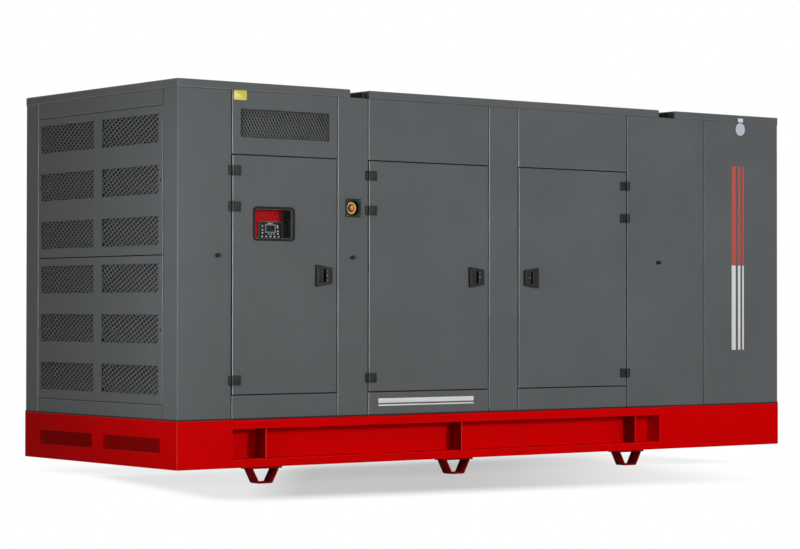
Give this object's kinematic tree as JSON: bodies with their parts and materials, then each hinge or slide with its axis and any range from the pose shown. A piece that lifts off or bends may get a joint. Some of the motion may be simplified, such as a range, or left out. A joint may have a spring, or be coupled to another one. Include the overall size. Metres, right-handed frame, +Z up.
{
  "type": "sound-attenuated generator set",
  "caption": "Sound-attenuated generator set: grey steel canopy with service doors and mesh air inlets on a red base frame with bent-strip feet.",
  "frame": {"origin": "under the middle of the set, on the level the feet stand on", "axes": "+X along the set to its right end, -Y out of the side with the opening doors, +Z up"},
  "size_m": [4.606, 1.712, 2.208],
  "materials": {
    "canopy_paint": "dark grey textured powder coat",
    "base_paint": "red powder coat, semi-gloss",
    "vent_mesh": "red painted expanded mesh",
    "black_hardware": "black powder-coated die casting",
    "window_mesh": "grey painted expanded mesh",
    "seal_rubber": "black rubber",
    "window_glass": "clear",
    "black_plastic": "moulded, fine texture",
    "button_plastic": "moulded, gloss",
    "yellow_plastic": "moulded, gloss",
    "cabinet_paint": "red powder coat",
    "engine_iron": "painted casting",
    "alternator_paint": "painted fabrication",
    "radiator_paint": "matt black",
    "lining_foam": "acoustic foam with a woven face",
    "bright_steel": "zinc plated",
    "white_film": "adhesive film",
    "red_film": "adhesive film"
  },
  "bodies": {
    "housing": {"base_end_boxes": "base_paint", "base_tank": "base_paint", "base_side_rails": "base_paint", "base_gussets": "base_paint", "base_vent_mesh": "vent_mesh", "feet": "base_paint", "front_left_corner": "canopy_paint", "grille_header": "canopy_paint", "header_mesh": "window_mesh", "plain_headers": "canopy_paint", "front_sills": "canopy_paint", "stop_button_pillar": "canopy_paint", "plain_pillar": "canopy_paint", "front_right_panel": "canopy_paint", "front_right_corner": "canopy_paint", "door_frames": "seal_rubber", "back_corners": "canopy_paint", "back_wall": "canopy_paint", "back_doors": "canopy_paint", "back_door_hardware": "black_hardware", "end_rails": "canopy_paint", "left_upper_panel": "canopy_paint", "left_lower_panel": "canopy_paint", "left_window_mesh": "window_mesh", "right_end_panels": "canopy_paint", "right_window_mesh": "window_mesh", "inlet_baffles": "canopy_paint", "roof_left_cap": "canopy_paint", "roof_middle_cap": "canopy_paint", "roof_right_cap": "canopy_paint", "lifting_beams": "black_hardware", "post_hinge_leaves": "black_hardware", "door_buffers": "seal_rubber", "stop_button_housing": "black_plastic", "control_cabinet": "cabinet_paint", "controller": "black_plastic", "engine": "engine_iron", "alternator": "alternator_paint", "radiator": "radiator_paint"},
    "door_1_leaf": {"door_1": "canopy_paint", "door_1_hinge_leaves": "black_hardware", "door_1_latch": "black_hardware", "window_gasket": "seal_rubber", "window_pane": "window_glass"},
    "door_1_handle": {"door_1_paddle": "black_hardware"},
    "door_2_leaf": {"door_2": "canopy_paint", "door_2_hinge_leaves": "black_hardware", "door_2_latch": "black_hardware"},
    "door_2_handle": {"door_2_paddle": "black_hardware"},
    "door_3_leaf": {"door_3": "canopy_paint", "door_3_hinge_leaves": "black_hardware", "door_3_latch": "black_hardware"},
    "door_3_handle": {"door_3_paddle": "black_hardware"},
    "stop_button_mushroom": {"stop_button": "button_plastic"}
  },
  "joints": [
    {"name": "door_1_hinge", "type": "hinge", "parent": "housing", "child": "door_1_leaf", "pos_m": [-1.947, -0.843, 1.1505], "axis": [0, 0, -1], "range_deg": [0, 170]},
    {"name": "door_1_paddle_pivot", "type": "hinge", "parent": "door_1_leaf", "child": "door_1_handle", "pos_m": [-1.375, -0.841, 1.1505], "axis": [0, 0, -1], "range_deg": [0, 40], "stiffness_Nm_per_rad": 0.3},
    {"name": "door_2_hinge", "type": "hinge", "parent": "housing", "child": "door_2_leaf", "pos_m": [-1.015, -0.843, 1.1505], "axis": [0, 0, -1], "range_deg": [0, 170]},
    {"name": "door_2_paddle_pivot", "type": "hinge", "parent": "door_2_leaf", "child": "door_2_handle", "pos_m": [-0.27, -0.841, 1.1505], "axis": [0, 0, -1], "range_deg": [0, 40], "stiffness_Nm_per_rad": 0.3},
    {"name": "door_3_hinge", "type": "hinge", "parent": "housing", "child": "door_3_leaf", "pos_m": [0.972, -0.843, 1.1505], "axis": [0, 0, 1], "range_deg": [0, 170]},
    {"name": "door_3_paddle_pivot", "type": "hinge", "parent": "door_3_leaf", "child": "door_3_handle", "pos_m": [0.237, -0.841, 1.1505], "axis": [0, 0, 1], "range_deg": [0, 40], "stiffness_Nm_per_rad": 0.3},
    {"name": "stop_button_push", "type": "slide", "parent": "housing", "child": "stop_button_mushroom", "axis": [0, 1, 0], "range_m": [0, 0.006], "stiffness_N_per_m": 400}
  ]
}
